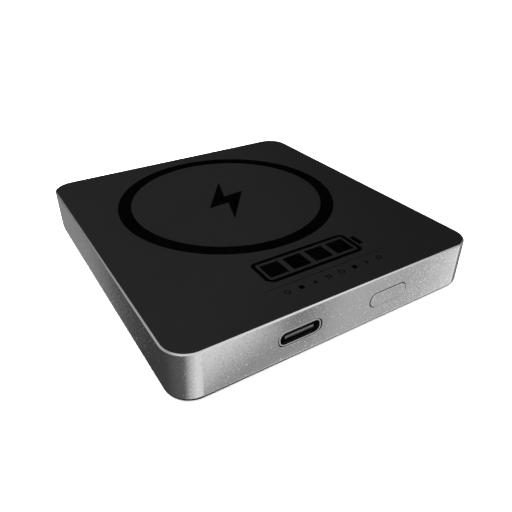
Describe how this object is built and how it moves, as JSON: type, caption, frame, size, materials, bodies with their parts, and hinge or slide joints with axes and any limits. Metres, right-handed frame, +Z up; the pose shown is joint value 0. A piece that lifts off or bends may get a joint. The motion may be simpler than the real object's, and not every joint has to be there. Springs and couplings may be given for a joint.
{
  "type": "magnetic wireless power bank",
  "caption": "Slim rectangular magnetic power bank: aluminium tub, black charging face with a ring mark, USB-C socket and a pill-shaped push button on one short side.",
  "frame": {"origin": "centre of the underside, at the base plane (the box's centre is 0.05 mm nearer the socket face, because the button stands 0.1 mm out of it)", "axes": "+Z up through the charging face, -Y out of the face with the USB-C socket and the button, +Y towards the back, +X to the right when looking at the socket face"},
  "size_m": [0.068, 0.0743, 0.0106],
  "materials": {
    "anodised_aluminium": "bead-blasted, clear anodised",
    "cover_black": "fine matt texture",
    "gloss_black": "gloss",
    "adhesive": "tacky foam",
    "silicone": "matt",
    "black_moulding": "moulded",
    "white_moulding": "moulded",
    "stainless": "satin",
    "spring_steel": "polished",
    "gold_contact": "gold plated",
    "circuit_board": "solder mask",
    "polyimide": "film",
    "chip_black": "moulded, laser matt",
    "inductor_grey": "pressed powder",
    "capacitor_tan": "fired",
    "foil_pouch": "laminated foil, matt",
    "nickel": "plated",
    "magnet_nickel": "nickel plated",
    "ferrite": "sintered",
    "copper_enamel": "enamelled",
    "lead_red": "insulation",
    "lead_black": "insulation",
    "graphite": "film",
    "brass_turned": "turned",
    "foam": "open cell foam"
  },
  "bodies": {
    "case": {"housing": "anodised_aluminium", "socket_wall": "anodised_aluminium", "top_cover": "cover_black", "cover_gasket": "adhesive", "ring_inlay": "gloss_black", "bolt_inlay": "gloss_black", "battery_symbol_inlay": "gloss_black", "divider_line_inlay": "gloss_black", "symbol_row_inlay": "gloss_black", "switch_body": "black_moulding", "switch_frame": "stainless", "switch_dome": "spring_steel", "usb_shell": "stainless", "usb_insulator": "black_moulding", "usb_contacts": "gold_contact", "main_board": "circuit_board", "board_insulator": "polyimide", "board_standoffs": "brass_turned", "cell_bumpers": "foam", "board_screws": "stainless", "charge_controller": "chip_black", "wireless_controller": "chip_black", "power_transistors": "chip_black", "power_inductor": "inductor_grey", "resonant_capacitors": "capacitor_tan", "ceramic_capacitors": "capacitor_tan", "chip_resistors": "chip_black", "battery_cell": "foil_pouch", "battery_tabs": "nickel", "protection_board": "circuit_board", "protection_chips": "chip_black", "protection_tape": "polyimide", "battery_adhesive": "adhesive", "battery_lead_positive": "lead_red", "battery_lead_negative": "lead_black", "foam_pads": "foam", "graphite_sheet": "graphite", "module_carrier": "black_moulding", "steel_ring": "stainless", "ring_magnets": "magnet_nickel", "ferrite_shield": "ferrite", "charging_coil": "copper_enamel", "coil_lead_inner": "copper_enamel", "coil_lead_outer": "copper_enamel", "module_film": "adhesive"},
    "button": {"power_button": "anodised_aluminium", "button_pad": "silicone"},
    "plunger": {"switch_plunger": "white_moulding"}
  },
  "joints": [
    {"name": "power_button_press", "type": "slide", "parent": "case", "child": "button", "axis": [0, 1, 0], "range_m": [0, 0.0003], "stiffness_N_per_m": 3000},
    {"name": "switch_plunger_press", "type": "slide", "parent": "case", "child": "plunger", "axis": [0, 1, 0], "range_m": [0, 0.0003], "deforming": ["switch_dome"]}
  ],
  "couplings": [
    {"joint": "switch_plunger_press", "follows": "power_button_press", "ratio": 1}
  ]
}
